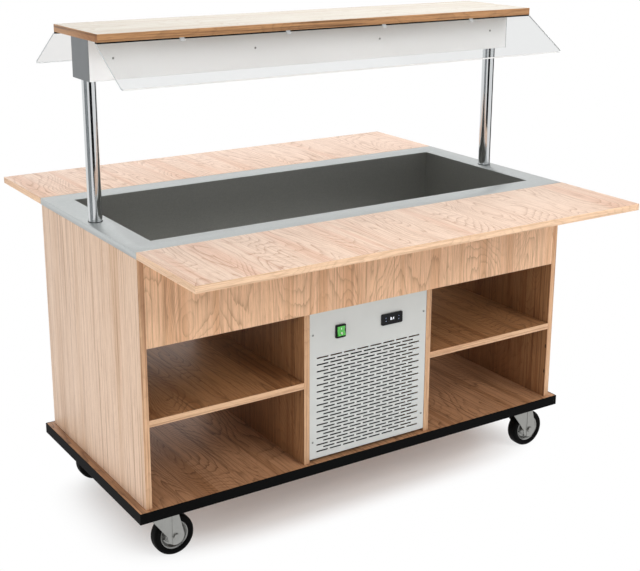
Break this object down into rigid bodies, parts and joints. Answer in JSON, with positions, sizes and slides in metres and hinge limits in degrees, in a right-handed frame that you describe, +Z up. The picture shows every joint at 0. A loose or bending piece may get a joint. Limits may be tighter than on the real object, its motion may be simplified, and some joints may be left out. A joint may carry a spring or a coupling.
{
  "type": "mobile salad bar",
  "caption": "Wheeled wooden buffet bar with a chilled stainless well, fold-down side boards, a lit canopy on posts and slanted glass guards",
  "frame": {"origin": "on the floor under the middle of the bar", "axes": "+X along the bar to the right seen from the front, the front with the switch faces -Y, +Z up"},
  "size_m": [1.546, 1.358, 1.479],
  "materials": {
    "laminate": "almond walnut laminate, satin",
    "laminate_base": "darker walnut laminate, satin",
    "edge_band": "black edge band",
    "stainless": "satin stainless",
    "foam": "rigid foam",
    "drain_chrome": "polished",
    "panel_paint": "light grey powder coat",
    "batten": "plain softwood",
    "screw_steel": "zinc plated",
    "switch_black": "black",
    "switch_green": "green, translucent look",
    "thermostat_black": "black with a dark window",
    "key_black": "black",
    "core": "finned core and sheet shroud",
    "fan_black": "black",
    "compressor_black": "black enamel",
    "post_chrome": "polished tube",
    "housing_white": "white powder coat",
    "diffuser": "opal",
    "lamp": "white lamp tray",
    "rail_black": "black strip",
    "guard_glass": "clear pane",
    "clip_blue": "dark blue",
    "bracket_zinc": "zinc plated",
    "caster_zinc": "zinc plated",
    "wheel_steel": "zinc plated",
    "tyre_rubber": "dark solid rubber"
  },
  "bodies": {
    "cabinet": {"base_board": "laminate_base", "base_edge_band": "edge_band", "side_panel_left": "laminate", "side_panel_right": "laminate", "shelf_left": "laminate", "shelf_right": "laminate", "divider_left": "laminate", "divider_right": "laminate", "front_apron": "laminate", "back_apron": "laminate", "top_rim": "stainless", "well_tank": "stainless", "insulation_foam": "foam", "drain_fitting": "drain_chrome", "front_grille_panel": "panel_paint", "back_vent_panel": "panel_paint", "panel_battens": "batten", "screws": "screw_steel", "switch_frame": "switch_black", "thermostat_case": "thermostat_black", "condenser": "core", "compressor": "compressor_black", "post_left": "post_chrome", "post_right": "post_chrome", "canopy_board": "laminate", "light_housing": "housing_white", "housing_caps": "housing_white", "lamp_diffuser": "diffuser", "lamp_strip": "lamp", "glass_rails": "rail_black", "glass_front": "guard_glass", "glass_back": "guard_glass", "glass_clips": "clip_blue", "front_bracket_legs": "bracket_zinc", "back_bracket_legs": "bracket_zinc", "caster_plates": "caster_zinc"},
    "front_board": {"front_board": "laminate", "front_bracket_arms": "bracket_zinc"},
    "back_board": {"back_board": "laminate", "back_bracket_arms": "bracket_zinc"},
    "front_struts": {"front_struts": "bracket_zinc"},
    "back_struts": {"back_struts": "bracket_zinc"},
    "switch_rocker": {"switch_rocker": "switch_green"},
    "thermostat_key_1": {"thermostat_key_1": "key_black"},
    "thermostat_key_2": {"thermostat_key_2": "key_black"},
    "thermostat_key_3": {"thermostat_key_3": "key_black"},
    "thermostat_key_4": {"thermostat_key_4": "key_black"},
    "fan": {"fan_rotor": "fan_black"},
    "fork_front_left": {"caster_fork_front_left": "caster_zinc"},
    "fork_front_right": {"caster_fork_front_right": "caster_zinc"},
    "fork_back_left": {"caster_fork_back_left": "caster_zinc"},
    "fork_back_right": {"caster_fork_back_right": "caster_zinc"},
    "wheel_front_left": {"wheel_rim_front_left": "wheel_steel", "tyre_front_left": "tyre_rubber"},
    "wheel_front_right": {"wheel_rim_front_right": "wheel_steel", "tyre_front_right": "tyre_rubber"},
    "wheel_back_left": {"wheel_rim_back_left": "wheel_steel", "tyre_back_left": "tyre_rubber"},
    "wheel_back_right": {"wheel_rim_back_right": "wheel_steel", "tyre_back_right": "tyre_rubber"}
  },
  "joints": [
    {"name": "front_board_fold", "type": "hinge", "parent": "cabinet", "child": "front_board", "pos_m": [0, -0.353, 0.897], "axis": [1, 0, 0], "range_deg": [0, 90]},
    {"name": "front_strut_turn", "type": "hinge", "parent": "cabinet", "child": "front_struts", "pos_m": [0, -0.353, 0.812], "axis": [1, 0, 0], "range_deg": [0, 127.5]},
    {"name": "back_board_fold", "type": "hinge", "parent": "cabinet", "child": "back_board", "pos_m": [0, 0.353, 0.897], "axis": [-1, 0, 0], "range_deg": [0, 90]},
    {"name": "back_strut_turn", "type": "hinge", "parent": "cabinet", "child": "back_struts", "pos_m": [0, 0.353, 0.812], "axis": [-1, 0, 0], "range_deg": [0, 127.5]},
    {"name": "switch_rock", "type": "hinge", "parent": "cabinet", "child": "switch_rocker", "pos_m": [-0.107, -0.34, 0.594], "axis": [1, 0, 0], "range_deg": [0, 18]},
    {"name": "key_1_press", "type": "slide", "parent": "cabinet", "child": "thermostat_key_1", "axis": [0, 1, 0], "range_m": [0, 0.0004], "stiffness_N_per_m": 150},
    {"name": "key_2_press", "type": "slide", "parent": "cabinet", "child": "thermostat_key_2", "axis": [0, 1, 0], "range_m": [0, 0.0004], "stiffness_N_per_m": 150},
    {"name": "key_3_press", "type": "slide", "parent": "cabinet", "child": "thermostat_key_3", "axis": [0, 1, 0], "range_m": [0, 0.0004], "stiffness_N_per_m": 150},
    {"name": "key_4_press", "type": "slide", "parent": "cabinet", "child": "thermostat_key_4", "axis": [0, 1, 0], "range_m": [0, 0.0004], "stiffness_N_per_m": 150},
    {"name": "fan_spin", "type": "hinge", "parent": "cabinet", "child": "fan", "pos_m": [0, -0.218, 0.327], "axis": [0, 1, 0], "continuous": true},
    {"name": "swivel_front_left", "type": "hinge", "parent": "cabinet", "child": "fork_front_left", "pos_m": [-0.674, -0.28, 0.14], "axis": [0, 0, 1], "continuous": true},
    {"name": "wheel_spin_front_left", "type": "hinge", "parent": "fork_front_left", "child": "wheel_front_left", "pos_m": [-0.642, -0.28, 0.0625], "axis": [0, 1, 0], "continuous": true},
    {"name": "swivel_front_right", "type": "hinge", "parent": "cabinet", "child": "fork_front_right", "pos_m": [0.674, -0.28, 0.14], "axis": [0, 0, 1], "continuous": true},
    {"name": "wheel_spin_front_right", "type": "hinge", "parent": "fork_front_right", "child": "wheel_front_right", "pos_m": [0.706, -0.28, 0.0625], "axis": [0, 1, 0], "continuous": true},
    {"name": "swivel_back_left", "type": "hinge", "parent": "cabinet", "child": "fork_back_left", "pos_m": [-0.674, 0.28, 0.14], "axis": [0, 0, 1], "continuous": true},
    {"name": "wheel_spin_back_left", "type": "hinge", "parent": "fork_back_left", "child": "wheel_back_left", "pos_m": [-0.642, 0.28, 0.0625], "axis": [0, 1, 0], "continuous": true},
    {"name": "swivel_back_right", "type": "hinge", "parent": "cabinet", "child": "fork_back_right", "pos_m": [0.674, 0.28, 0.14], "axis": [0, 0, 1], "continuous": true},
    {"name": "wheel_spin_back_right", "type": "hinge", "parent": "fork_back_right", "child": "wheel_back_right", "pos_m": [0.706, 0.28, 0.0625], "axis": [0, 1, 0], "continuous": true}
  ],
  "couplings": [
    {"joint": "front_strut_turn", "follows": "front_board_fold", "ratio": 1.4153},
    {"joint": "back_strut_turn", "follows": "back_board_fold", "ratio": 1.4153}
  ]
}
